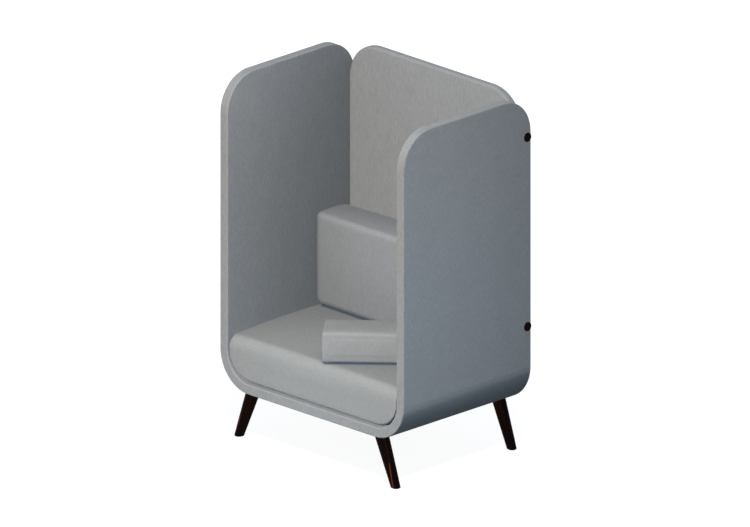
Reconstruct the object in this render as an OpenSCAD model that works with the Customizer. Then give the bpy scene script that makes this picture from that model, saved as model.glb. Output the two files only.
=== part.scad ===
// High back lounge chair with a padded, bent plywood shell, loose cushions and four splayed wooden legs.
// Lengths are in millimetres. The chair faces -Y, and left and right are as seen from the front.

/* [Shell] */
// Outer width across the two side panels
shell_w = 1030; // [900:10:1200]
// Depth from the front edge to the rear edge
shell_d = 715; // [660:5:800]
// Height of the shell, from its underside to the top of its side panels
shell_h = 1300; // [1150:10:1450]
// Height of the shell's underside above the floor
leg_h = 200; // [160:5:240]
// Thickness of the bent plywood inside the shell
shell_core_t = 18; // [15:1:21]
// Thickness of the padding on each face of the shell, and round its edges
shell_pad_t = 12; // [8:1:16]
// Outer radius of the bends between the floor and the sides
bend_r = 160; // [120:5:200]
// Radius of the top corners of the side panels
side_corner_r = 152; // [110:4:190]
// Rounding of the shell's padded edges
shell_edge_r = 5; // [3:1:8]

/* [Back panel] */
// Thickness of the board inside the back panel
back_core_t = 18; // [15:1:21]
// Thickness of the padding on each face of the back panel
back_pad_t = 9; // [7:1:12]
// Padding round the edges of the back panel's board
back_wrap_t = 12; // [8:1:16]
// Radius of the top corners of the back panel
back_corner_r = 157; // [110:4:180]
// Rounding of the back panel's padded edges
back_edge_r = 12; // [6:1:14]
// Gap between the back panel and the shell round it
panel_gap = 0.3; // [0.2:0.1:1]

/* [Seat cushion] */
// Height of the seat's top edges above the shell's underside
seat_top = 222; // [200:2:250]
// How far the seat's front stands back from the shell's front edge
seat_setback = 1; // [0:1:15]
// Crown of the seat's top
seat_crown = 8; // [2:1:12]
// Crown of the seat's front face
seat_front_crown = 2; // [0:1:6]
// How far back the seat's front edges are rounded
seat_front_r = 28; // [20:1:40]
// Share of the seat's height that the rounding takes at the top and at the bottom of its front
seat_front_share = 0.28; // [0.2:0.02:0.36]
// Draw-in of the seat's front at the side panels
seat_side_draw = 5; // [3:1:12]
// Rounding of the top edges beside the side panels
seat_top_r = 12; // [8:1:24]
// Rounding of the seat's rear edges
seat_rear_r = 15; // [8:1:25]

/* [Back cushion] */
// Height of the back cushion, with its crown, standing on the seat
back_cushion_h = 394; // [330:4:450]
// Thickness of the back cushion at its edges
back_cushion_t = 184; // [140:4:200]
// Crown of the back cushion's front face
back_crown = 14; // [6:1:24]
// Crown of the back cushion's top
back_top_crown = 12; // [4:1:16]
// Rounding of the back cushion's top front edge
back_front_r = 35; // [20:1:45]
// Rounding of the back cushion's top rear edge
back_rear_r = 28; // [10:1:35]
// Rounding of the back cushion's lower edges
back_low_r = 18; // [10:1:30]
// Rounding of the back cushion's ends
back_end_r = 20; // [16:1:40]

/* [Lumbar cushion] */
// Length of the loose lumbar cushion
lumbar_l = 450; // [350:10:480]
// Depth of the loose lumbar cushion
lumbar_d = 175; // [150:5:200]
// Height of the loose lumbar cushion
lumbar_h = 134; // [100:2:160]
// Rounding of the lumbar cushion's edges
lumbar_r = 22; // [14:1:34]
// Crown of the lumbar cushion's faces
lumbar_crown = 3; // [2:1:8]
// Turn of the lumbar cushion on the seat, in degrees
lumbar_turn = 40; // [30:1:45]
// From the lumbar cushion's far front corner to the right side panel
lumbar_side_gap = 78; // [40:2:120]
// From the lumbar cushion's far rear corner to the back cushion
lumbar_back_gap = 56; // [20:2:80]

/* [Legs] */
// Diameter of a leg at the shell
leg_top_d = 56; // [48:1:60]
// Diameter of a leg at the floor
leg_foot_d = 38; // [30:1:44]
// Foot centre, from the shell's outer side
foot_inset = 75; // [50:5:100]
// Leg's top centre, from the shell's outer side
leg_top_inset = 153; // [140:1:180]
// Leg's centre line, from the shell's front or rear edge
leg_edge_inset = 32; // [30:1:50]
// Thickness of the glide under a foot
glide_t = 3; // [2:1:5]
// Diameter of the glide under a foot
glide_d = 30; // [20:1:34]

/* [Fastenings] */
// Diameter of a wooden cap over a connector bolt
cap_d = 38; // [30:1:44]
// How far a cap stands out of the side panel
cap_t = 4; // [2:1:6]
// Height of the lower connector bolts above the shell's underside
low_bolt_z = 332; // [280:4:380]
// Distance of the upper connector bolts from the shell's top
high_bolt_drop = 172; // [168:4:300]
// Distance of the connector bolts from the shell's rear edge
bolt_inset = 21; // [18:1:23]
// Diameter of a connector bolt's shank
bolt_d = 6; // [5:1:8]
// Diameter of a leg bolt's shank
leg_bolt_d = 8; // [6:1:10]

/* [Hidden] */
$fn = 64;

fabric_colour = "#9ba0a3";
inside_colour = "#8d9499";
wood_colour = "#2a1610";
plywood_colour = "#c9a877";
steel_colour = "#a8abad";
plastic_colour = "#1d1d1f";

// Clearance between a soft piece and what it lies against
soft_gap = 0.3;
// Radial clearance of a bolt or dowel in its hole
hole_gap = 0.2;
// Overrun of every cut
cut = 5;

wall_t = shell_core_t + 2 * shell_pad_t;
back_t = back_core_t + 2 * back_pad_t;
inner_w = shell_w - 2 * wall_t;
front_y = -shell_d / 2;
rear_y = shell_d / 2;
panel_front_y = rear_y - back_t;
floor_z = leg_h + wall_t;
shell_top_z = leg_h + shell_h;
// Distances from a bend's centre line to the surfaces of the wall
mid_r = bend_r - wall_t / 2;
core_in_r = bend_r - shell_pad_t - shell_core_t;
bend_x = shell_w / 2 - bend_r;
bend_z = leg_h + bend_r;
high_bolt_z = shell_h - high_bolt_drop;

// Steps along the rounded corners and the sides of a cushion's rings, and along its ends and its middle
corner_steps = 6;
side_steps = 5;
end_steps = 6;
middle_steps = 4;
// Sizes of the rings inside a cushion's end face, which rises to its crown between them
cap_ring_shares = [0.75, 0.4];

// Half of a panel's section, with one rounded edge
module edge_section(reach, t, r) {
    if (r > 0) {
        square([reach, t - r]);
        square([reach - r, t]);
        translate([reach - r, t - r]) intersection() {
            circle(r);
            square(r);
        }
    } else {
        square([reach, t]);
    }
}

// A whole section of a panel, centred, with both outer edges rounded
module panel_section(w, t, r) {
    edge_section(w / 2, t, r);
    mirror([1, 0]) edge_section(w / 2, t, r);
}

// The upper end of a panel: a strip between two rounded corners
module panel_top(w, corner_r, t, r) {
    translate([corner_r - w / 2, 0, 0]) rotate([90, 0, 90])
        linear_extrude(w - 2 * corner_r) edge_section(corner_r, t, r);
    translate([w / 2 - corner_r, 0, 0]) rotate_extrude(angle = 90) edge_section(corner_r, t, r);
    translate([corner_r - w / 2, 0, 0]) rotate(90) rotate_extrude(angle = 90) edge_section(corner_r, t, r);
}

// A panel lying flat, with its front face's rim rounded all round
module panel(w, h, low_r, high_r, t, r) {
    translate([0, h - high_r, 0]) panel_top(w, high_r, t, r);
    translate([0, low_r, 0]) rotate(180) panel_top(w, low_r, t, r);
    translate([0, h - high_r, 0]) rotate([90, 0, 0])
        linear_extrude(h - low_r - high_r) panel_section(w, t, r);
}

// One layer of the bent shell. It starts at base from the bends' centre lines and grows outward,
// or inward with out = -1, and its edges are inset from those of the shell.
module half_layer(base, out, t, inset, r) {
    depth = shell_d - 2 * inset;
    corner_r = side_corner_r - inset;
    top_z = shell_top_z - side_corner_r;
    translate([bend_x + base, 0, top_z]) rotate([90, 0, 90 * out]) panel_top(depth, corner_r, t, r);
    translate([bend_x + base, 0, bend_z]) rotate(-90 * out)
        linear_extrude(top_z - bend_z) panel_section(depth, t, r);
    translate([bend_x, 0, bend_z]) rotate([-90, 0, 0]) rotate_extrude(angle = 90)
        translate([base, 0]) rotate(-90 * out) panel_section(depth, t, r);
    translate([0, 0, bend_z - base]) rotate([-90 * out, 0, -90 * out])
        linear_extrude(bend_x) panel_section(depth, t, r);
}

module shell_layer(base, out, t, inset, r) {
    half_layer(base, out, t, inset, r);
    mirror([1, 0, 0]) half_layer(base, out, t, inset, r);
}

module tube(h, d, bore) {
    difference() {
        cylinder(h = h, d = d);
        translate([0, 0, -cut]) cylinder(h = h + 2 * cut, d = bore);
    }
}

module both_sides() {
    children();
    mirror([1, 0, 0]) children();
}

module both_ends() {
    children();
    mirror([0, 1, 0]) children();
}

// Puts its children at the leg bolt of each corner
module at_leg_bolts(z) {
    both_sides() both_ends() translate([leg_bolt_x, leg_bolt_y, z]) children();
}

// Puts its children at each connector bolt of the right side, with Z pointing out of the shell
module at_right_bolts(x) {
    for (z = [low_bolt_z, high_bolt_z])
        translate([x, rear_y - bolt_inset, leg_h + z]) rotate([0, 90, 0]) children();
}

// Connector bolts: their heads lie on the plywood, and sleeves keep the padding from being crushed
core_out_x = shell_w / 2 - shell_pad_t;
core_in_x = core_out_x - shell_core_t;
panel_core_x = inner_w / 2 - panel_gap - back_wrap_t;
bolt_head_d = 14;
bolt_head_t = 4;
cap_spigot_d = 18;
cap_spigot_l = 6;
cap_edge_r = 1.2;
sleeve_wall = 3;
nut_d = 12;
nut_l = 14;
nut_depth = 30;
bolt_end_spare = 6;
bolt_l = core_out_x - panel_core_x + nut_depth + nut_d / 2 + bolt_end_spare;
cap_hole_d = cap_spigot_d + 2 * hole_gap;
bolt_hole_d = bolt_d + 2 * hole_gap;
sleeve_d = bolt_d + 2 * hole_gap + 2 * sleeve_wall;
sleeve_hole_d = sleeve_d + 2 * hole_gap;

module bolt_holes() {
    both_sides() {
        at_right_bolts(core_out_x) cylinder(h = shell_pad_t + cut, d = cap_hole_d);
        at_right_bolts(core_out_x - bolt_l) cylinder(h = bolt_l + bolt_head_t, d = bolt_hole_d);
    }
}

module sleeve_holes() {
    both_sides() at_right_bolts(panel_core_x) cylinder(h = core_in_x - panel_core_x, d = sleeve_hole_d);
}

// Dowels that line the back panel up between its bolts
dowel_d = 10;
dowel_bite = 13;
dowel_height_shares = [0.34, 0.66];
dowel_l = core_in_x - panel_core_x + 2 * dowel_bite;

module dowels() {
    both_sides() for (s = dowel_height_shares)
        translate([panel_core_x - dowel_bite, rear_y - back_t / 2,
            leg_h + low_bolt_z + s * (high_bolt_z - low_bolt_z)])
            rotate([0, 90, 0]) cylinder(h = dowel_l, d = dowel_d);
}

// Legs: a bolt from inside the shell and a dowel fix each one through a hard spacer
leg_x = shell_w / 2 - leg_top_inset;
leg_y = front_y + leg_edge_inset;
foot_x = shell_w / 2 - foot_inset;
leg_tilt = atan((foot_x - leg_x) / leg_h);
leg_l = leg_h / cos(leg_tilt);
leg_spare = 45;
leg_taper = (leg_top_d - leg_foot_d) / 2 / leg_l;
spacer_d = 40;
leg_bolt_out = 5;
leg_bolt_in = 10;
leg_dowel_in = 12;
leg_dowel_d = 8;
leg_dowel_l = 34;
washer_d = 20;
washer_t = 1.6;
leg_bolt_l = 55;
leg_bolt_head_d = 14;
leg_bolt_head_t = 5;
insert_d = 12;
insert_l = 25;
insert_hole_l = 28;
access_d = 22;
nail_d = 4;
nail_l = 15;
leg_bolt_hole_d = leg_bolt_d + 2 * hole_gap;
core_top_z = leg_h + shell_pad_t + shell_core_t;
core_low_z = leg_h + shell_pad_t;
leg_bolt_x = leg_x + leg_bolt_out;
leg_bolt_y = leg_y + leg_bolt_in;
leg_dowel_y = leg_y - leg_dowel_in;
leg_dowel_z = core_low_z + shell_core_t / 2;

module one_leg_dowel() {
    translate([leg_bolt_x, leg_dowel_y, leg_dowel_z - leg_dowel_l])
        cylinder(h = leg_dowel_l, d = leg_dowel_d);
}

module leg_dowel_shapes() {
    both_sides() both_ends() one_leg_dowel();
}

module leg_shape() {
    difference() {
        translate([foot_x, leg_y, 0]) rotate([0, -leg_tilt, 0]) translate([0, 0, -leg_spare])
            cylinder(h = leg_l + 2 * leg_spare, r1 = leg_foot_d / 2 - leg_taper * leg_spare,
                r2 = leg_top_d / 2 + leg_taper * leg_spare);
        translate([0, front_y - cut, glide_t - leg_top_d]) cube([shell_w, shell_d / 2, leg_top_d]);
        translate([0, front_y - cut, leg_h]) cube([bend_x, shell_d / 2, bend_r]);
        translate([bend_x, front_y - cut, bend_z]) rotate([-90, 0, 0]) cylinder(h = shell_d / 2, r = bend_r);
        translate([leg_bolt_x, leg_bolt_y, leg_h - insert_hole_l])
            cylinder(h = insert_hole_l + cut, d = insert_d);
        one_leg_dowel();
        translate([foot_x, leg_y, 0]) cylinder(h = glide_t + nail_l, d = nail_d);
    }
}

module leg_holes() {
    at_leg_bolts(leg_h - cut) cylinder(h = wall_t, d = leg_bolt_hole_d);
    at_leg_bolts(core_top_z) cylinder(h = 2 * shell_pad_t, d = access_d);
    leg_dowel_shapes();
}

module spacer_places() {
    both_sides() both_ends() translate([leg_x, leg_y, leg_h - cut]) cylinder(h = bend_r, d = spacer_d);
}

module plain_core() {
    shell_layer(core_in_r, 1, shell_core_t, shell_pad_t, 0);
}

module shell_core() {
    color(plywood_colour) difference() {
        plain_core();
        bolt_holes();
        dowels();
        leg_holes();
    }
}

module inner_upholstery() {
    color(inside_colour) difference() {
        shell_layer(mid_r, -1, wall_t / 2, 0, shell_edge_r);
        plain_core();
        sleeve_holes();
        dowels();
        leg_holes();
    }
}

module outer_upholstery() {
    color(fabric_colour) difference() {
        shell_layer(mid_r, 1, wall_t / 2, 0, shell_edge_r);
        plain_core();
        bolt_holes();
        spacer_places();
    }
}

panel_w = inner_w - 2 * panel_gap;
panel_h = shell_h - wall_t - panel_gap;
panel_low_r = bend_r - wall_t - panel_gap;

module back_board() {
    translate([0, rear_y - back_pad_t, floor_z + panel_gap + back_wrap_t]) rotate([90, 0, 0])
        panel(panel_w - 2 * back_wrap_t, panel_h - 2 * back_wrap_t, panel_low_r - back_wrap_t,
            back_corner_r - back_wrap_t, back_core_t, 0);
}

module back_half(turn) {
    translate([0, rear_y - back_t / 2, floor_z + panel_gap]) rotate([90, 0, turn])
        panel(panel_w, panel_h, panel_low_r, back_corner_r, back_t / 2, back_edge_r);
}

module back_core() {
    color(plywood_colour) difference() {
        back_board();
        bolt_holes();
        dowels();
        both_sides() nut_shapes();
    }
}

module back_front_upholstery() {
    color(inside_colour) difference() {
        back_half(0);
        back_board();
        sleeve_holes();
        dowels();
    }
}

module back_rear_upholstery() {
    color(fabric_colour) difference() {
        back_half(180);
        back_board();
        sleeve_holes();
        dowels();
    }
}

// Barrel nuts lie across the board, near its side edges
module nut_shapes() {
    for (z = [low_bolt_z, high_bolt_z])
        translate([panel_core_x - nut_depth, rear_y - back_pad_t, leg_h + z])
            rotate([90, 0, 0]) cylinder(h = (back_core_t + nut_l) / 2, d = nut_d);
}

module barrel_nuts() {
    color(steel_colour) difference() {
        both_sides() nut_shapes();
        bolt_holes();
    }
}

module connector_bolts() {
    color(steel_colour) both_sides() {
        at_right_bolts(core_out_x - bolt_l) cylinder(h = bolt_l, d = bolt_d);
        at_right_bolts(core_out_x) cylinder(h = bolt_head_t, d = bolt_head_d);
    }
}

module connector_sleeves() {
    color(steel_colour) both_sides() at_right_bolts(panel_core_x)
        tube(core_in_x - panel_core_x, sleeve_d, bolt_hole_d);
}

module panel_dowels() {
    color(plywood_colour) dowels();
}

module caps() {
    at_right_bolts(shell_w / 2) {
        rotate_extrude() edge_section(cap_d / 2, cap_t, cap_edge_r);
        translate([0, 0, -cap_spigot_l]) cylinder(h = cap_spigot_l, d = cap_spigot_d);
    }
}

module right_bolt_caps() {
    color(wood_colour) caps();
}

module left_bolt_caps() {
    color(wood_colour) mirror([1, 0, 0]) caps();
}

module front_right_leg() {
    color(wood_colour) leg_shape();
}

module front_left_leg() {
    color(wood_colour) mirror([1, 0, 0]) leg_shape();
}

module rear_right_leg() {
    color(wood_colour) mirror([0, 1, 0]) leg_shape();
}

module rear_left_leg() {
    color(wood_colour) mirror([1, 0, 0]) mirror([0, 1, 0]) leg_shape();
}

module leg_spacers() {
    color(plywood_colour) difference() {
        intersection() {
            shell_layer(mid_r, 1, wall_t / 2, 0, shell_edge_r);
            spacer_places();
        }
        plain_core();
        leg_holes();
    }
}

module leg_washers() {
    color(steel_colour) at_leg_bolts(core_top_z) tube(washer_t, washer_d, leg_bolt_hole_d);
}

module leg_bolts() {
    color(steel_colour) at_leg_bolts(core_top_z + washer_t) {
        translate([0, 0, -leg_bolt_l]) cylinder(h = leg_bolt_l, d = leg_bolt_d);
        cylinder(h = leg_bolt_head_t, d = leg_bolt_head_d);
    }
}

module leg_inserts() {
    color(steel_colour) at_leg_bolts(leg_h - insert_l) tube(insert_l, insert_d, leg_bolt_hole_d);
}

module leg_dowels() {
    color(plywood_colour) leg_dowel_shapes();
}

module foot_glides() {
    color(plastic_colour) both_sides() both_ends() translate([foot_x, leg_y, 0]) {
        cylinder(h = glide_t, d = glide_d);
        cylinder(h = glide_t + nail_l, d = nail_d);
    }
}

// Points of a rounded rectangle, anticlockwise from its lower right corner. radii and swell are given
// per corner and per side in that order, and a side bows outward by its swell.
function ring_centre(k, lo, hi, r) = [
    k < 2 ? hi[0] - r : lo[0] + r,
    k == 0 || k == 3 ? lo[1] + r : hi[1] - r
];
function ring_corner(k, i, lo, hi, r) = ring_centre(k, lo, hi, r)
    + r * [cos(90 * (k - 1 + i / corner_steps)), sin(90 * (k - 1 + i / corner_steps))];
function ring_side(k, t, lo, hi, radii, swell) =
    (1 - t) * ring_corner(k, corner_steps, lo, hi, radii[k])
    + t * ring_corner((k + 1) % 4, 0, lo, hi, radii[(k + 1) % 4])
    + swell[k] * sin(180 * t) * [cos(90 * k), sin(90 * k)];
function ring(lo, hi, radii, swell) = [
    for (k = [0:3]) each [
        for (i = [0:corner_steps]) ring_corner(k, i, lo, hi, radii[k]),
        for (j = [1:side_steps]) ring_side(k, j / (side_steps + 1), lo, hi, radii, swell)
    ]
];

// A coordinate drawn in from its low or its high side, in proportion to its distance from the middle
function drawn_in(v, lo, hi, low_draw, high_draw) =
    let (middle = (lo + hi) / 2)
    v > middle ? v - high_draw * (v - middle) / (hi - middle) : v + low_draw * (middle - v) / (middle - lo);

// The ring at height w of a cushion of length l, drawn in by share s of what its end gives each side.
// Half of the swell rises along the ring and half along the cushion.
function cushion_ring(l, w, s, lo, hi, radii, swell, draw) =
    let (rise = swell / 2 * sin(180 * w / l))
    [for (p = ring(lo - [rise[2], rise[3]], hi + [rise[0], rise[1]], radii, (1 - s) * swell / 2)) [
        drawn_in(p[0], lo[0], hi[0], s * draw[2], s * draw[0]),
        drawn_in(p[1], lo[1], hi[1], s * draw[3], s * draw[1]),
        w
    ]];

// A ring shrunk towards its middle, for the crown of an end face
function shrink(points, middle, share, w) = [
    for (p = points) [middle[0] + share * (p[0] - middle[0]), middle[1] + share * (p[1] - middle[1]), w]
];

// Rings from end to end of a cushion. Each end is a list of its rounding, its crown and its sides' draw.
function cushion_rings(l, lo, hi, radii, swell, low_end, high_end) =
    let (
        middle = (lo + hi) / 2,
        low_w = low_end[1] + low_end[0],
        high_w = l - high_end[1] - high_end[0],
        low = [for (i = [0:end_steps]) cushion_ring(l, low_w - low_end[0] * cos(90 * i / end_steps),
            1 - sin(90 * i / end_steps), lo, hi, radii, swell, low_end[2])],
        between_step = (high_w - low_w) / (middle_steps + 1),
        between = [for (i = [1:middle_steps]) cushion_ring(l, low_w + i * between_step,
            0, lo, hi, radii, swell, low_end[2])],
        high = [for (i = [end_steps:-1:0]) cushion_ring(l, high_w + high_end[0] * cos(90 * i / end_steps),
            1 - sin(90 * i / end_steps), lo, hi, radii, swell, high_end[2])],
        caps = len(cap_ring_shares) - 1,
        low_cap = [for (i = [caps:-1:0]) shrink(low[0], middle, cap_ring_shares[i],
            low_end[1] * pow(cap_ring_shares[i], 2))],
        high_cap = [for (share = cap_ring_shares) shrink(high[end_steps], middle, share,
            l - high_end[1] * pow(share, 2))]
    )
    concat(low_cap, low, between, high, high_cap);

// A closed solid through rings of equal size, with a point at the middle of each end
module loft(rings, low_point, high_point) {
    n = len(rings[0]);
    last = len(rings) - 1;
    points = concat([for (r = rings) each r], [low_point, high_point]);
    walls = [for (i = [0:last - 1], j = [0:n - 1])
        let (a = i * n + j, b = i * n + (j + 1) % n, c = b + n, d = a + n) each [[a, d, c], [a, c, b]]];
    low_fan = [for (j = [0:n - 1]) [len(points) - 2, j, (j + 1) % n]];
    high_fan = [for (j = [0:n - 1]) [len(points) - 1, last * n + (j + 1) % n, last * n + j]];
    polyhedron(points, concat(walls, low_fan, high_fan));
}

module cushion(l, lo, hi, radii, swell, low_end, high_end) {
    middle = (lo + hi) / 2;
    loft(cushion_rings(l, lo, hi, radii, swell, low_end, high_end),
        [middle[0], middle[1], 0], [middle[0], middle[1], l]);
}

// What stands on the seat clears its crown
cushion_z = leg_h + seat_top + seat_crown + soft_gap;
cushion_back_y = panel_front_y - soft_gap;

// The seat's rings run from the back panel to the front, and follow the shell's bends below
module seat_cushion() {
    half_w = inner_w / 2 - soft_gap;
    low_r = bend_r - wall_t - soft_gap;
    front_draw = seat_front_share * (seat_top - wall_t);
    color(fabric_colour) translate([0, cushion_back_y, leg_h]) rotate([90, 0, 0])
        cushion(cushion_back_y - front_y - seat_setback, [-half_w, wall_t + soft_gap], [half_w, seat_top],
            [low_r, seat_top_r, seat_top_r, low_r], [0, seat_crown, 0, 0],
            [seat_rear_r, 0, [seat_rear_r / 2, seat_rear_r, seat_rear_r / 2, seat_rear_r]],
            [seat_front_r, seat_front_crown, [seat_side_draw, front_draw, seat_side_draw, front_draw]]);
}

// The back cushion's rings run from side to side
module back_cushion() {
    l = inner_w - 2 * soft_gap;
    end = [back_end_r, 0, [back_end_r / 2, back_end_r / 2, back_end_r, back_end_r / 2]];
    color(fabric_colour) translate([-l / 2, cushion_back_y, cushion_z]) rotate([90, 0, 90])
        cushion(l, [-back_cushion_t, 0], [0, back_cushion_h - back_top_crown],
            [back_low_r, back_rear_r, back_front_r, back_low_r], [0, back_top_crown, back_crown, 0],
            end, end);
}

// The lumbar cushion lies loose on the seat, turned away from the front edge
module lumbar_cushion() {
    near_x = inner_w / 2 - lumbar_side_gap - lumbar_l * cos(lumbar_turn);
    near_y = cushion_back_y - back_cushion_t - back_crown - lumbar_back_gap
        - lumbar_d * cos(lumbar_turn) - lumbar_l * sin(lumbar_turn);
    end = [lumbar_r, lumbar_crown, [lumbar_r, lumbar_r, lumbar_r, lumbar_r / 2]];
    color(fabric_colour) translate([near_x, near_y, cushion_z]) rotate(lumbar_turn) rotate([90, 0, 90])
        cushion(lumbar_l, [lumbar_crown, 0], [lumbar_d - lumbar_crown, lumbar_h - lumbar_crown],
            [lumbar_r, lumbar_r, lumbar_r, lumbar_r], [lumbar_crown, lumbar_crown, lumbar_crown, 0],
            end, end);
}

shell_core();
inner_upholstery();
outer_upholstery();
back_core();
back_front_upholstery();
back_rear_upholstery();
seat_cushion();
back_cushion();
lumbar_cushion();
front_left_leg();
front_right_leg();
rear_left_leg();
rear_right_leg();
leg_spacers();
leg_bolts();
leg_washers();
leg_inserts();
leg_dowels();
foot_glides();
connector_bolts();
connector_sleeves();
barrel_nuts();
panel_dowels();
left_bolt_caps();
right_bolt_caps();
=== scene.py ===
import math

import bmesh
import bpy
from mathutils import Matrix, Vector


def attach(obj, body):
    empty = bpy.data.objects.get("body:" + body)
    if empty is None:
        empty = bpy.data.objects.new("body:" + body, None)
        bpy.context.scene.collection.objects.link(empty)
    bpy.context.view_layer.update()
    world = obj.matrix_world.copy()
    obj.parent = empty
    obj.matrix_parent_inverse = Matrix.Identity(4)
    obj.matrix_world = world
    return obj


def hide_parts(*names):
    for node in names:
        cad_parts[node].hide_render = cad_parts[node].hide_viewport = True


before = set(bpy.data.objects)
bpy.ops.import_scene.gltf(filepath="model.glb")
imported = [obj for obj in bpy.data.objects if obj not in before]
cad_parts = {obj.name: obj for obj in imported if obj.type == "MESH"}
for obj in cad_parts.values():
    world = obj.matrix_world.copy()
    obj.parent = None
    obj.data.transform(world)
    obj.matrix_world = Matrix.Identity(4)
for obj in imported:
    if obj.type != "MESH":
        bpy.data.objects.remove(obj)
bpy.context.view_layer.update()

MM = 0.001
QUARTER_TURN = math.pi / 2
WHITE = (1, 1, 1, 1)

# The camera: a parallel view from the chair's right and above, measured from the photograph
PHOTO_W = 750
PX = 3.964 * MM
VIEW_AZIMUTH = math.radians(45)
VIEW_ELEVATION = math.asin(1 / 3)
VIEW_LEFT = 0.52 * PX
VIEW_MIDDLE_Z = 752.1 * MM
VIEW_DISTANCE = 5.0
VIEW_END = 50

# The lights, measured from the photograph's tones. The key's angles are to the chair's right, and up.
KEY_AZIMUTH = math.radians(45)
KEY_ELEVATION = math.radians(60)
KEY_STRENGTH = 1.448
KEY_COLOUR = (1, 0.962, 0.905)
FLOOR_KEY_COLOUR = (1, 1, 1)
KEY_ANGLE = math.radians(8)
SKY_COLOUR = (0.616, 0.782, 1, 1)
SKY_STRENGTH = 0.25
FILL_RADIUS = 100 * MM
# Each fill: its name, place, power and colour
FILLS = (
    ("front", (0, -3.2, 0.8), 175.6, (1, 0.868, 0.706)),
    ("front_low", (0, -1.2, 0.1), 7.55, (0.478, 0.717, 1)),
    ("overhead", (0, -0.6, 2.2), 11.5, (1, 0.965, 0.974)),
    ("right", (2, -0.6, 0.8), 26.2, (0.666, 0.816, 1)),
    ("right_high", (2, -0.6, 2.2), 16.3, (1, 0.873, 0.64)),
    ("rear_left", (-2.2, 2.6, 0.3), 130, (0.88, 0.94, 1)),
)

# The floor's half size, its grey and glow where it is seen, and its colour for light that bounces
FLOOR_HALF = 20
FLOOR_GREY = (0.35, 0.35, 0.35, 1)
FLOOR_GLOW = 0.94
FLOOR_BOUNCE = "#101820"

# How much fine structure a noise has: for threads and pores, and for figured wood, steel and nylon
FINE_DETAIL = 1.0
FIGURE_DETAIL = 2.0

# Marks in the wool: their sizes along X, Y and Z in millimetres, and how much they lighten or darken it
WARP = ((3.3, 3.3, 22), 0.095)
WEFT = ((14, 14, 3.3), 0.07)
DYE_CLOUDS = ((60, 60, 60), 0.025)
# The span of the noise's values over which a mark goes from darkest to lightest
MARK_SPAN = (0.25, 0.75)
# Share of its colour that the cloth gives to light bounced off it
CLOTH_BOUNCE = 0.1
# Painted shade on a cushion's cloth: it darkens deeper in the chair, and turns navy close against its
# neighbours,
# where shade falls. For each: how far it looks round, and the open shares at which that is full and gone
DEEP_SHADE = (400 * MM, 0.3, 0.85)
CREASE_SHADE = (12 * MM, 0.45, 0.85)
OPENNESS_RAYS = 8
# The marks are fainter on the cushions than on the panels, and painted shade darkens the cloth to this level
# deep inside
CUSHION_CONTRAST = 0.75
DEEP_SHADE_LEVEL = 0.8
# Half the depth of the side panels, how far their padding leans back at the rear, and down at the bends
PANEL_HALF_Y = 357.5 * MM
PANEL_LEAN = 0.25
PANEL_DROOP = 0.5

# Where the light streak on a leg starts and is full, along the leg from the level of its top
STREAK_TOP = 40 * MM
STREAK_FULL = -70 * MM
LEG_TILT = math.atan2(78, 200)
# How far a wood's roughness varies either way with its pores
PORE_ROUGHNESS = 0.1
# Centre lines of the shell's bends, the thickness of a veneer, and how strongly the glue lines show
BEND_X = 355 * MM
BEND_Z = 360 * MM
VENEER_T = 1.5 * MM
GLUE_LINES = 0.12

# Steps along the rounded corners of a cushion's rings, and along its rounded ends
CORNER_STEPS = 6
END_STEPS = 6
CLOTH_FRAMES = 20
# How far a cover starts drawn in over its foam, and how far it may stay from its form
COVER_DRAW = 4 * MM
COVER_SLACK = 2.5 * MM


def linear(code):
    """A colour written as an sRGB hex value, in Blender's linear light."""
    colour = []
    for start in (1, 3, 5):
        level = int(code[start:start + 2], 16) / 255
        colour.append(level / 12.92 if level <= 0.04045 else ((level + 0.055) / 1.055) ** 2.4)
    return colour + [1.0]


def direction(azimuth, elevation):
    """Towards an azimuth to the right of the chair's front, and an elevation above the floor."""
    level = math.cos(elevation)
    return Vector((math.sin(azimuth) * level, -math.cos(azimuth) * level, math.sin(elevation)))


def add_camera():
    """The photograph's camera."""
    data = bpy.data.cameras.new("photo_camera")
    data.type = "ORTHO"
    data.ortho_scale = PHOTO_W * PX
    data.clip_end = VIEW_END
    camera = bpy.data.objects.new("photo_camera", data)
    right = Vector((math.cos(VIEW_AZIMUTH), math.sin(VIEW_AZIMUTH), 0))
    target = Vector((0, 0, VIEW_MIDDLE_Z)) - right * VIEW_LEFT
    back = direction(VIEW_AZIMUTH, VIEW_ELEVATION)
    turn = back.to_track_quat("Z", "Y").to_matrix().to_4x4()
    camera.matrix_world = Matrix.Translation(target + back * VIEW_DISTANCE) @ turn
    bpy.context.collection.objects.link(camera)
    bpy.context.scene.camera = camera


def node(tree, kind, settings=None, *sources, **named):
    """Adds a node. Settings go to its properties, or to its inputs where they name one. Sources are other
    nodes' outputs, for its inputs in their order or by name."""
    made = tree.nodes.new(kind)
    for name, value in (settings or {}).items():
        if name in made.inputs:
            made.inputs[name].default_value = value
        else:
            setattr(made, name, value)
    for socket, source in zip(made.inputs, sources):
        tree.links.new(source, socket)
    for name, source in named.items():
        tree.links.new(source, made.inputs[name.replace("_", " ")])
    return made


def calc(tree, operation, *terms):
    """Adds a Math node, whose terms are numbers or other nodes' outputs. Gives its result."""
    made = node(tree, "ShaderNodeMath", {"operation": operation})
    for socket, term in zip(made.inputs, terms):
        if isinstance(term, (int, float)):
            socket.default_value = term
        else:
            tree.links.new(term, socket)
    return made.outputs[0]


def remap(tree, value, low, high, start=0.0, end=1.0):
    """Maps a value that runs from start to end to one that runs from low to high, and no further."""
    ranges = {"From Min": start, "From Max": end, "To Min": low, "To Max": high}
    return node(tree, "ShaderNodeMapRange", ranges, Value=value).outputs[0]


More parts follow.
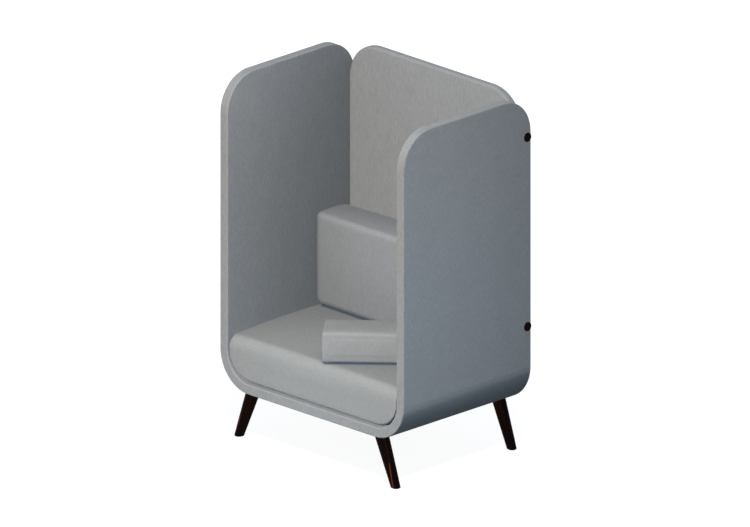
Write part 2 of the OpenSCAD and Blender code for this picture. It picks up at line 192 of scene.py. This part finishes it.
def blend(tree, share, first, second):
    """Mixes two colours, each a hex value or another node's output. Gives the second where the share is 1."""
    mix = node(tree, "ShaderNodeMix", {"data_type": "RGBA"}, Factor=share)
    colour_inputs = [socket for socket in mix.inputs if socket.type == "RGBA"]
    for socket, colour in zip(colour_inputs, (first, second)):
        if isinstance(colour, str):
            socket.default_value = linear(colour)
        else:
            tree.links.new(colour, socket)
    return next(socket for socket in mix.outputs if socket.type == "RGBA")


def ramp(tree, share, stops):
    """Colours along a share. Each stop is a position and a hex value."""
    made = node(tree, "ShaderNodeValToRGB", None, share)
    elements = made.color_ramp.elements
    while len(elements) < len(stops):
        elements.new(1.0)
    for element, (position, colour) in zip(elements, stops):
        element.position = position
        element.color = linear(colour)
    return made.outputs[0]


def axes_of(tree, vector):
    """The X, Y and Z of a vector."""
    return node(tree, "ShaderNodeSeparateXYZ", None, vector).outputs


def object_spot(tree):
    """The place on the object, in its own axes."""
    return node(tree, "ShaderNodeTexCoord").outputs["Object"]


def placed(tree, spot, **settings):
    """A spot turned, moved or scaled."""
    return node(tree, "ShaderNodeMapping", settings, Vector=spot).outputs[0]


def stretched_noise(tree, spot, sizes, detail):
    """Noise whose marks have the given sizes along X, Y and Z, in millimetres."""
    scaled = placed(tree, spot, Scale=[1 / (size * MM) for size in sizes])
    return node(tree, "ShaderNodeTexNoise", {"Scale": 1.0, "Detail": detail}, Vector=scaled).outputs["Fac"]


def openness(tree, reach, closed, full):
    """How open a place is to its surroundings within reach, from 0 where closed to 1 where fully open."""
    near = node(tree, "ShaderNodeAmbientOcclusion", {"Distance": reach, "samples": OPENNESS_RAYS})
    return remap(tree, near.outputs["AO"], 0.0, 1.0, closed, full)


def bumped(tree, height, strength, depth, **under):
    """A normal that follows the height of a fine relief of the given depth."""
    settings = {"Strength": strength, "Distance": depth}
    return node(tree, "ShaderNodeBump", settings, Height=height, **under).outputs[0]


def new_material(name):
    """An empty material and its node tree."""
    material = bpy.data.materials.new(name)
    material.use_nodes = True
    material.node_tree.nodes.clear()
    return material, material.node_tree


def surface(tree, settings, **named):
    """Ends a material's tree in one Principled surface."""
    shader = node(tree, "ShaderNodeBsdfPrincipled", settings, **named)
    node(tree, "ShaderNodeOutputMaterial", Surface=shader.outputs[0])


def panel_crown(tree):
    """The normal of a padded panel: its sides lean back as they near the rear, where the cloth is pulled in,
    and its bends turn down early, as the padding hangs a little."""
    shape = node(tree, "ShaderNodeNewGeometry").outputs
    facing = axes_of(tree, shape["Normal"])
    side = calc(tree, "MULTIPLY", facing["X"], facing["X"])
    rear = axes_of(tree, shape["Position"])["Y"]
    lean = remap(tree, rear, 0.0, PANEL_LEAN, -PANEL_HALF_Y, PANEL_HALF_Y)
    lean = calc(tree, "MULTIPLY", lean, side)
    droop = calc(tree, "MULTIPLY", calc(tree, "MINIMUM", facing["Z"], 0.0), PANEL_DROOP)
    pull = node(tree, "ShaderNodeCombineXYZ", Y=lean, Z=droop).outputs[0]
    leant = node(tree, "ShaderNodeVectorMath", {"operation": "ADD"}, shape["Normal"], pull).outputs[0]
    return node(tree, "ShaderNodeVectorMath", {"operation": "NORMALIZE"}, leant).outputs[0]


def wool_cloth(name, colour, turn=0.0, panel=False, contrast=CUSHION_CONTRAST, crease_shade_colour=None, depth=1.0):
    """Woven and brushed wool: a soft matt face with fine, uneven threads. The crease colour is a painted
    shade close against its neighbours, and depth the level of painted shade deep in the chair."""
    material, tree = new_material(name)
    turned = placed(tree, object_spot(tree), Rotation=(0, 0, -turn))
    warp, weft, clouds = [
        remap(tree, stretched_noise(tree, turned, sizes, FINE_DETAIL),
              1 - contrast * change, 1 + contrast * change, *MARK_SPAN)
        for sizes, change in (WARP, WEFT, DYE_CLOUDS)
    ]
    threads = calc(tree, "MULTIPLY", warp, weft)
    level = calc(tree, "MULTIPLY", threads, clouds)
    # The studio light is even in every corner, so light that has bounced off other cloth counts for little
    bounced = node(tree, "ShaderNodeLightPath").outputs["Is Diffuse Ray"]
    level = calc(tree, "MULTIPLY", level, remap(tree, bounced, 1.0, CLOTH_BOUNCE))
    # Painted shade: the cloth darkens where its surroundings close in, deeper in the chair
    if depth < 1:
        level = calc(tree, "MULTIPLY", level, remap(tree, openness(tree, *DEEP_SHADE), depth, 1.0))
    tint = node(tree, "ShaderNodeHueSaturation", {"Color": linear(colour)}, Value=level).outputs[0]
    # Painted shade: a navy tint where the cloth lies close against its neighbours
    if crease_shade_colour:
        tint = blend(tree, openness(tree, *CREASE_SHADE), crease_shade_colour, tint)
    # The threads stand up a little, which breaks the light on the cloth
    under = {"Normal": panel_crown(tree)} if panel else {}
    relief = bumped(tree, threads, strength=0.5, depth=0.5 * MM, **under)
    # Loose fibres catch light at the cloth's turned edges
    settings = {"Roughness": 0.95, "Sheen Weight": 0.06, "Sheen Roughness": 0.5, "Specular IOR Level": 0.1}
    surface(tree, settings, Base_Color=tint, Normal=relief)
    return material


def heart_streak(tree, spot, tilt, across, slope, half_width):
    """A streak of light heartwood down a leg, which fades in from its top. across is its place from left to
    right, as the camera sees it, and slope is how far that moves with height."""
    along = axes_of(tree, placed(tree, spot, Rotation=(0, tilt, 0)))
    sideways = calc(tree, "MULTIPLY", calc(tree, "ADD", along["X"], along["Y"]), math.sqrt(0.5))
    middle = calc(tree, "MULTIPLY_ADD", along["Z"], slope, across)
    away = calc(tree, "ABSOLUTE", calc(tree, "SUBTRACT", sideways, middle))
    width = remap(tree, away, 1.0, 0.0, 0.0, half_width)
    lower = remap(tree, along["Z"], 0.0, 1.0, STREAK_TOP, STREAK_FULL)
    return calc(tree, "MULTIPLY", width, lower)


def figured_wood(name, dark, light, brightest, spread, figure, pores, rough, shine, tilt=0.0, shift=0.0,
                 heart=None):
    """Wood with light streaks on dark, or dark flecks on light, along Z. figure and pores give the sizes of
    a streak and of a pore, across and along the grain in millimetres."""
    material, tree = new_material(name)
    spot = object_spot(tree)
    along = placed(tree, spot, Rotation=(0, tilt, 0), Location=(shift, shift, 0))
    streak = stretched_noise(tree, along, (figure[0], figure[0], figure[1]), FIGURE_DETAIL)
    if heart:
        streak = calc(tree, "MAXIMUM", streak, heart_streak(tree, spot, tilt, *heart))
    colour = ramp(tree, streak, ((spread[0], dark), (spread[1], light), (1.0, brightest)))
    fine = stretched_noise(tree, along, (pores[0], pores[0], pores[1]), FINE_DETAIL)
    gloss = remap(tree, fine, rough - PORE_ROUGHNESS, rough + PORE_ROUGHNESS)
    relief = bumped(tree, fine, strength=0.25, depth=0.3 * MM)
    surface(tree, {"Specular IOR Level": shine}, Base_Color=colour, Roughness=gloss, Normal=relief)
    return material


def birch_plywood(name, bent):
    """Pressed birch veneers: pale faces with a soft figure, and fine dark glue lines along the edges."""
    material, tree = new_material(name)
    spot = object_spot(tree)
    axes = axes_of(tree, spot)
    depth = axes["Y"]
    if bent:
        # Distance from the bends' centre lines, which counts the veneers from the inside out
        side = calc(tree, "ABSOLUTE", axes["X"])
        out = calc(tree, "MAXIMUM", calc(tree, "SUBTRACT", side, BEND_X), 0.0)
        down = calc(tree, "MAXIMUM", calc(tree, "SUBTRACT", BEND_Z, axes["Z"]), 0.0)
        pair = node(tree, "ShaderNodeCombineXYZ", X=out, Y=down).outputs[0]
        depth = node(tree, "ShaderNodeVectorMath", {"operation": "LENGTH"}, pair).outputs["Value"]
    plies = calc(tree, "SINE", calc(tree, "MULTIPLY", depth, math.pi / VENEER_T))
    figure = stretched_noise(tree, spot, sizes=(12, 12, 160), detail=FIGURE_DETAIL)
    mixed = calc(tree, "MULTIPLY_ADD", plies, GLUE_LINES, figure)
    colour = ramp(tree, mixed, ((0.3, "#a07c50"), (0.6, "#d2b183")))
    relief = bumped(tree, mixed, strength=0.2, depth=0.2 * MM)
    surface(tree, {"Roughness": 0.7, "Specular IOR Level": 0.3}, Base_Color=colour, Normal=relief)
    return material


def zinc_plated_steel(name):
    """Zinc-plated steel: bright bluish grey, with a mottled sheen."""
    material, tree = new_material(name)
    mottle = stretched_noise(tree, object_spot(tree), sizes=(3, 3, 3), detail=FIGURE_DETAIL)
    colour = blend(tree, mottle, "#b9bcc0", "#c8c6ba")
    gloss = remap(tree, mottle, low=0.28, high=0.48)
    surface(tree, {"Metallic": 1.0}, Base_Color=colour, Roughness=gloss)
    return material


def moulded_nylon(name, colour):
    """Moulded nylon, with the fine matt grain of its tool."""
    material, tree = new_material(name)
    grain = stretched_noise(tree, object_spot(tree), sizes=(0.8, 0.8, 0.8), detail=FIGURE_DETAIL)
    gloss = remap(tree, grain, low=0.5, high=0.65)
    relief = bumped(tree, grain, strength=0.2, depth=0.1 * MM)
    surface(tree, {"Base Color": linear(colour)}, Roughness=gloss, Normal=relief)
    return material


def seen_share(tree):
    """1 for the camera's rays and for reflections, which show the white background, and 0 for other light."""
    path = node(tree, "ShaderNodeLightPath").outputs
    return calc(tree, "MAXIMUM", path["Is Camera Ray"], path["Is Glossy Ray"])


def studio_floor():
    """A pale floor that the camera sees as white, apart from the chair's shadow."""
    material, tree = new_material("studio_floor")
    grey = node(tree, "ShaderNodeBsdfDiffuse", {"Color": FLOOR_GREY}).outputs[0]
    glow = node(tree, "ShaderNodeEmission", {"Color": WHITE, "Strength": FLOOR_GLOW}).outputs[0]
    shown = node(tree, "ShaderNodeAddShader", None, grey, glow).outputs[0]
    dim = node(tree, "ShaderNodeBsdfDiffuse", {"Color": linear(FLOOR_BOUNCE)}).outputs[0]
    both = node(tree, "ShaderNodeMixShader", None, seen_share(tree), dim, shown).outputs[0]
    node(tree, "ShaderNodeOutputMaterial", Surface=both)
    return material


def add_floor():
    """The floor that the chair stands on."""
    low, high = -FLOOR_HALF, FLOOR_HALF
    mesh = bpy.data.meshes.new("floor")
    mesh.from_pydata([(low, low, 0), (high, low, 0), (high, high, 0), (low, high, 0)], [], [(0, 1, 2, 3)])
    floor = bpy.data.objects.new("floor", mesh)
    bpy.context.collection.objects.link(floor)
    floor.data.materials.append(studio_floor())
    return floor


def link_floor(lamp, floor, state):
    """Keeps a lamp off the floor, or on the floor alone, so that the fills don't change the floor's white."""
    linked = bpy.data.collections.new(lamp.name + "_receivers")
    linked.objects.link(floor)
    linked.collection_objects[0].light_linking.link_state = state
    lamp.light_linking.receiver_collection = linked


def add_lamp(name, kind, energy, colour):
    """A lamp of a kind, not yet placed."""
    data = bpy.data.lights.new(name, kind)
    data.energy = energy
    data.color = colour
    lamp = bpy.data.objects.new(name, data)
    bpy.context.collection.objects.link(lamp)
    return lamp


def add_key(name, colour):
    """The key light, which comes from the camera's side."""
    lamp = add_lamp(name, "SUN", KEY_STRENGTH, colour)
    lamp.data.angle = KEY_ANGLE
    lamp.rotation_euler = direction(KEY_AZIMUTH, KEY_ELEVATION).to_track_quat("Z", "Y").to_euler()
    return lamp


def add_world():
    """A faint bluish sky, which the camera and reflections see as white."""
    world = bpy.data.worlds.new("studio")
    world.use_nodes = True
    tree = world.node_tree
    tree.nodes.clear()
    sky = node(tree, "ShaderNodeBackground", {"Color": SKY_COLOUR, "Strength": SKY_STRENGTH}).outputs[0]
    white = node(tree, "ShaderNodeBackground", {"Color": WHITE, "Strength": 1.0}).outputs[0]
    both = node(tree, "ShaderNodeMixShader", None, seen_share(tree), sky, white).outputs[0]
    node(tree, "ShaderNodeOutputWorld", Surface=both)
    bpy.context.scene.world = world


def add_lights(floor):
    """One key for the floor, with the chair's shadow. A like one and the fills are for the chair, and cast no
    shadows, as the photograph shows none on the chair."""
    add_world()
    link_floor(add_key("floor_key", FLOOR_KEY_COLOUR), floor, "INCLUDE")
    lamps = [add_key("key", KEY_COLOUR)]
    for name, place, power, colour in FILLS:
        lamp = add_lamp(name, "POINT", power, colour)
        lamp.data.shadow_soft_size = FILL_RADIUS
        lamp.location = place
        lamps.append(lamp)
    for lamp in lamps:
        lamp.data.use_shadow = False
        link_floor(lamp, floor, "EXCLUDE")


def apply_modifiers(obj):
    """Makes the result of an object's modifiers its mesh."""
    graph = bpy.context.evaluated_depsgraph_get()
    made = bpy.data.meshes.new_from_object(obj.evaluated_get(graph))
    old = obj.data
    obj.modifiers.clear()
    obj.data = made
    bpy.data.meshes.remove(old)


# A cushion's form has its own axes: a and b across it, and w along it from its first end. Lists of four go by
# its sides: high a, high b, low a, low b. Its radii are those of the corners before each side. Its steps are
# the points along a side of high or low a, then of b. Each of its ends has a depth, a crown and four draws.


def rounded_ring(low, high, radii, swell, steps):
    """Points of a rounded rectangle with bowed sides, anticlockwise from its lower right corner."""
    corners = []
    for side, (a, b) in enumerate(((high[0], low[1]), high, (low[0], high[1]), low)):
        radius = radii[side]
        middle_a = a - radius if side < 2 else a + radius
        middle_b = b + radius if side in (0, 3) else b - radius
        middle = Vector((middle_a, middle_b))
        turns = [QUARTER_TURN * (side - 1 + step / CORNER_STEPS) for step in range(CORNER_STEPS + 1)]
        corners.append([middle + radius * Vector((math.cos(turn), math.sin(turn))) for turn in turns])
    points = []
    for side in range(4):
        out = Vector((math.cos(QUARTER_TURN * side), math.sin(QUARTER_TURN * side)))
        start, end = corners[side][-1], corners[(side + 1) % 4][0]
        points += corners[side]
        for step in range(1, steps[side % 2] + 1):
            share = step / (steps[side % 2] + 1)
            points.append(start.lerp(end, share) + out * swell[side] * math.sin(math.pi * share))
    return points


def drawn_in(at, low, high, low_draw, high_draw):
    """A coordinate drawn in from its low or its high side, in proportion to its distance from the middle."""
    middle = (low + high) / 2
    if at > middle:
        return at - high_draw * (at - middle) / (high - middle)
    return at + low_draw * (middle - at) / (middle - low)


def cushion_ring(form, w, share, draws):
    """The ring at w along a cushion, drawn in by a share of its end's draws."""
    low, high = form["low"], form["high"]
    rise = [arch * math.sin(math.pi * w / form["length"]) for arch in form["arch"]]
    wide_low = Vector((low[0] - rise[2], low[1] - rise[3]))
    wide_high = Vector((high[0] + rise[0], high[1] + rise[1]))
    swell = [(1 - share) * bow for bow in form["swell"]]
    high_a, high_b, low_a, low_b = [share * draw for draw in draws]
    return [
        Vector((drawn_in(a, low[0], high[0], low_a, high_a), drawn_in(b, low[1], high[1], low_b, high_b), w))
        for a, b in rounded_ring(wide_low, wide_high, form["radii"], swell, form["steps"])
    ]


def cushion_rings(form):
    """The rings from a cushion's first end to its last."""
    (first_depth, first_crown, first_draws), (last_depth, last_crown, last_draws) = form["ends"]
    start = first_crown + first_depth
    end = form["length"] - last_crown - last_depth
    turns = [QUARTER_TURN * step / END_STEPS for step in range(END_STEPS)]
    count = form["length_steps"]
    rings = []
    for turn in turns:
        w = start - first_depth * math.cos(turn)
        rings.append(cushion_ring(form, w, 1 - math.sin(turn), first_draws))
    for step in range(count + 1):
        w = start + (end - start) * step / count
        rings.append(cushion_ring(form, w, 0, first_draws))
    for turn in reversed(turns):
        w = end + last_depth * math.cos(turn)
        rings.append(cushion_ring(form, w, 1 - math.sin(turn), last_draws))
    return rings


def cap_grid(ring, first, steps, crown):
    """Fills an end with a grid that rises to its crown. Gives the new points, and the rows of point numbers
    with None for each new point."""
    middles = []
    count = 0
    for side in range(4):
        middles.append(count + CORNER_STEPS // 2)
        count += CORNER_STEPS + 1 + steps[side % 2]
    bottom = list(range(middles[3], count)) + list(range(0, middles[0] + 1))
    right = list(range(middles[0], middles[1] + 1))
    top = list(range(middles[2], middles[1] - 1, -1))
    left = list(range(middles[3], middles[2] - 1, -1))
    points = []
    rows = [[first + number for number in bottom]]
    for row in range(1, len(left) - 1):
        up = row / (len(left) - 1)
        for column in range(1, len(bottom) - 1):
            over = column / (len(bottom) - 1)
            point = ring[bottom[column]] * (1 - up) + ring[top[column]] * up
            point += ring[left[row]] * (1 - over)
            point += ring[right[row]] * over
            point -= (ring[bottom[0]] * (1 - over) + ring[bottom[-1]] * over) * (1 - up)
            point -= (ring[top[0]] * (1 - over) + ring[top[-1]] * over) * up
            point.z += crown * math.sin(math.pi * over) * math.sin(math.pi * up)
            points.append(point)
        rows.append([first + left[row]] + [None] * (len(bottom) - 2) + [first + right[row]])
    rows.append([first + number for number in top])
    return points, rows


def cushion_cover(name, form, place):
    """A cover with an even grid of faces, built through rounded rings from end to end."""
    rings = cushion_rings(form)
    count = len(rings[0])
    points = [point for ring in rings for point in ring]
    faces = []
    for ring_number in range(len(rings) - 1):
        for number in range(count):
            here = ring_number * count + number
            after = ring_number * count + (number + 1) % count
            faces.append((here, after, after + count, here + count))
    first_crown, last_crown = [crown for depth, crown, draws in form["ends"]]
    for ring_number, crown in ((0, -first_crown), (len(rings) - 1, last_crown)):
        new_points, rows = cap_grid(rings[ring_number], ring_number * count, form["steps"], crown)
        spare = iter(range(len(points), len(points) + len(new_points)))
        rows = [[next(spare) if number is None else number for number in row] for row in rows]
        points += new_points
        for lower, upper in zip(rows, rows[1:]):
            for column in range(len(lower) - 1):
                faces.append((lower[column], lower[column + 1], upper[column + 1], upper[column]))
    mesh = bpy.data.meshes.new(name)
    mesh.from_pydata([place(*point) for point in points], [], faces)
    editor = bmesh.new()
    editor.from_mesh(mesh)
    bmesh.ops.recalc_face_normals(editor, faces=editor.faces)
    editor.to_mesh(mesh)
    editor.free()
    cover = bpy.data.objects.new(name, mesh)
    bpy.context.collection.objects.link(cover)
    return cover


def simulate_padding(obj):
    """Inflates a cover over its foam as cloth, and gives where its points go."""
    scene = bpy.context.scene
    modifier = obj.modifiers.new("cloth", "CLOTH")
    settings = modifier.settings
    settings.quality = 5
    settings.mass = 0.3
    settings.tension_stiffness = 25
    settings.compression_stiffness = 25
    settings.shear_stiffness = 10
    settings.bending_stiffness = 0.5
    settings.use_pressure = True
    settings.uniform_pressure_force = 4
    settings.effector_weights.gravity = 0
    modifier.collision_settings.use_collision = False
    modifier.point_cache.frame_start = 1
    modifier.point_cache.frame_end = CLOTH_FRAMES
    for number in range(1, CLOTH_FRAMES + 1):
        scene.frame_set(number)
    graph = bpy.context.evaluated_depsgraph_get()
    moved = [vertex.co.copy() for vertex in obj.evaluated_get(graph).data.vertices]
    obj.modifiers.clear()
    scene.frame_set(1)
    return moved


def pad(cover, material):
    """Draws a cover in over its foam, lets it swell again as cloth, and keeps it within its form."""
    goals = [(vertex.co.copy(), vertex.normal.copy()) for vertex in cover.data.vertices]
    for vertex, (goal, normal) in zip(cover.data.vertices, goals):
        vertex.co = goal - normal * COVER_DRAW
    for vertex, point, (goal, normal) in zip(cover.data.vertices, simulate_padding(cover), goals):
        move = point - goal
        move -= normal * max(move.dot(normal), 0)
        if move.length > COVER_SLACK:
            move *= COVER_SLACK / move.length
        vertex.co = goal + move
    for face in cover.data.polygons:
        face.use_smooth = True
    subdivide = cover.modifiers.new("subdivision", "SUBSURF")
    subdivide.levels = subdivide.render_levels = 1
    apply_modifiers(cover)
    cover.data.materials.append(material)


# The cushions' forms. Lengths are measured from the photograph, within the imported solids' places.
SIDE_X = 472.7 * MM
BACK_Y = 321.2 * MM
SEAT_FRONT_Y = -356.5 * MM
SEAT_LOW_Z = 242.3 * MM
SEAT_TOP_Z = 422.5 * MM
SEAT_R = 12 * MM
SEAT_LOW_R = 117.7 * MM
SEAT_SWELL = 4 * MM
SEAT_ARCH = 9.5 * MM
SEAT_GAP = 0.6 * MM
seat_rear = (15 * MM, 0, (7 * MM, 15 * MM, 7 * MM, 15 * MM))
seat_front = (37 * MM, 2 * MM, (5 * MM, 47 * MM, 5 * MM, 17 * MM))
seat_form = {
    "length": BACK_Y - SEAT_FRONT_Y,
    "low": (-SIDE_X, SEAT_LOW_Z),
    "high": (SIDE_X, SEAT_TOP_Z),
    "radii": (SEAT_LOW_R, SEAT_R, SEAT_R, SEAT_LOW_R),
    "swell": (0, SEAT_SWELL, 0, 0),
    "arch": (0, SEAT_ARCH, 0, 0),
    "ends": (seat_rear, seat_front),
    "steps": (8, 56),
    "length_steps": 40,
}

BACK_LOW_Z = 430.3 * MM
BACK_TOP_Z = 821.5 * MM
BACK_T = 192 * MM
back_end = (32 * MM, 0, (10 * MM, 12 * MM, 14 * MM, 45 * MM))
back_form = {
    "length": 2 * SIDE_X,
    "low": (BACK_Y - BACK_T, BACK_LOW_Z),
    "high": (BACK_Y, BACK_TOP_Z),
    "radii": (18 * MM, 50 * MM, 22 * MM, 26 * MM),
    "swell": (0, 3 * MM, 2 * MM, 0),
    "arch": (0, 9 * MM, 13 * MM, 0),
    "ends": (back_end, back_end),
    "steps": (22, 10),
    "length_steps": 56,
}

LUMBAR_TURN = math.radians(40)
LUMBAR_CORNER = Vector((47.6 * MM, -357.3 * MM))
LUMBAR_LOW_Z = 430.3 * MM
LUMBAR_TOP_Z = 564 * MM
LUMBAR_L = 450 * MM
LUMBAR_D = 173 * MM
LUMBAR_CROWN = 3 * MM
LUMBAR_BOW = 1.5 * MM
lumbar_end = (12 * MM, 2 * MM, (12 * MM, 14 * MM, 12 * MM, 5 * MM))
lumbar_form = {
    "length": LUMBAR_L,
    "low": (LUMBAR_CROWN, LUMBAR_LOW_Z),
    "high": (LUMBAR_D - LUMBAR_CROWN, LUMBAR_TOP_Z),
    "radii": (8 * MM, 10 * MM, 17 * MM, 20 * MM),
    "swell": (LUMBAR_BOW, LUMBAR_BOW, LUMBAR_BOW, 0),
    "arch": (LUMBAR_BOW, LUMBAR_BOW, LUMBAR_BOW, 0),
    "ends": (lumbar_end, lumbar_end),
    "steps": (10, 12),
    "length_steps": 36,
}


def seat_height(x, y):
    """Height of the seat's crowned top."""
    across = math.cos(QUARTER_TURN * min(abs(x) / (SIDE_X - SEAT_R), 1))
    along = math.sin(math.pi * min(max((BACK_Y - y) / seat_form["length"], 0), 1))
    return SEAT_TOP_Z + SEAT_SWELL * across + SEAT_ARCH * along


def on_seat(point, foot_z, height):
    """Lets a cushion's underside follow the seat's crown, and less so its upper parts."""
    lift = seat_height(point.x, point.y) + SEAT_GAP - foot_z
    point.z += lift * max(0, 1 - (point.z - foot_z) / height)
    return point


def seat_place(a, b, w):
    """The seat cushion runs forward from its rear end."""
    return Vector((a, BACK_Y - w, b))


def back_place(a, b, w):
    """The back cushion runs from left to right, with a toward the rear."""
    return on_seat(Vector((w - SIDE_X, a, b)), BACK_LOW_Z, BACK_TOP_Z - BACK_LOW_Z)


def lumbar_place(a, b, w):
    """The lumbar cushion runs from its corner at the chair's front, turned on the seat."""
    cosine, sine = math.cos(LUMBAR_TURN), math.sin(LUMBAR_TURN)
    spot = Vector((LUMBAR_CORNER.x + w * cosine - a * sine, LUMBAR_CORNER.y + w * sine + a * cosine, b))
    return on_seat(spot, LUMBAR_LOW_Z, LUMBAR_TOP_Z - LUMBAR_LOW_Z)


add_camera()
add_lights(add_floor())

shell_wool = wool_cloth("wool_cloth_shell", "#a3a6a8", panel=True, contrast=1.0)
# The cushions' crease colours are painted shade, navy, where they lie close against their neighbours
seat_wool = wool_cloth("wool_cloth_seat_cushion", "#a5a8a9", crease_shade_colour="#5a6a80", depth=DEEP_SHADE_LEVEL)
back_wool = wool_cloth("wool_cloth_back_cushion", "#a5a9ad", crease_shade_colour="#1c2c42", depth=DEEP_SHADE_LEVEL)
lumbar_wool = wool_cloth("wool_cloth_lumbar_cushion", "#a6a8a9", LUMBAR_TURN, crease_shade_colour="#4c5c6e")
beech = figured_wood("beech", dark="#8c6239", light="#c79c6a", brightest="#c79c6a", spread=(0.3, 0.6),
                     figure=(5, 60), pores=(0.6, 3), rough=0.6, shine=0.25)
steel = zinc_plated_steel("zinc_plated_steel")
finishes = {
    "inner_upholstery": shell_wool,
    "outer_upholstery": shell_wool,
    "back_front_upholstery": shell_wool,
    "back_rear_upholstery": shell_wool,
    "shell_core": birch_plywood("bent_birch_plywood", True),
    "back_core": birch_plywood("birch_plywood", False),
    "leg_spacers": beech,
    "leg_dowels": beech,
    "panel_dowels": beech,
    "leg_bolts": steel,
    "leg_washers": steel,
    "leg_inserts": steel,
    "connector_bolts": steel,
    "connector_sleeves": steel,
    "barrel_nuts": steel,
    "foot_glides": moulded_nylon("moulded_nylon", "#141414"),
}
# Oiled wood: near black, with faint streaks along each leg, shifted so that no two are alike. The front legs
# also have a light streak: its place, how far that moves with height, and half its width.
for name, tilt, shift, heart in (
    ("front_left_leg", -LEG_TILT, 0.0, (-540 * MM, 0.0, 7 * MM)),
    ("rear_left_leg", -LEG_TILT, 0.1, None),
    ("front_right_leg", LEG_TILT, 0.2, (66.4 * MM, 0.11, 10 * MM)),
    ("rear_right_leg", LEG_TILT, 0.3, None),
    ("left_bolt_caps", 0.0, 0.0, None),
    ("right_bolt_caps", 0.0, 0.0, None),
):
    finishes[name] = figured_wood("oiled_wood_" + name, dark="#070302", light="#2a1008", brightest="#8a4020",
                                  spread=(0.5, 0.8), figure=(9, 600), pores=(0.7, 12), rough=0.7, shine=0.03,
                                  tilt=tilt, shift=shift, heart=heart)
for name, material in finishes.items():
    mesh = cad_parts[name].data
    mesh.materials.clear()
    mesh.materials.append(material)

for name, form, place, material, body in (
    ("seat_cushion", seat_form, seat_place, seat_wool, "chair"),
    ("back_cushion", back_form, back_place, back_wool, "chair"),
    ("lumbar_cushion", lumbar_form, lumbar_place, lumbar_wool, "loose_cushion"),
):
    piece = cushion_cover(name + "_cover", form, place)
    pad(piece, material)
    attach(piece, body)
    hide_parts(name)

bpy.context.scene.view_settings.view_transform = "Standard"
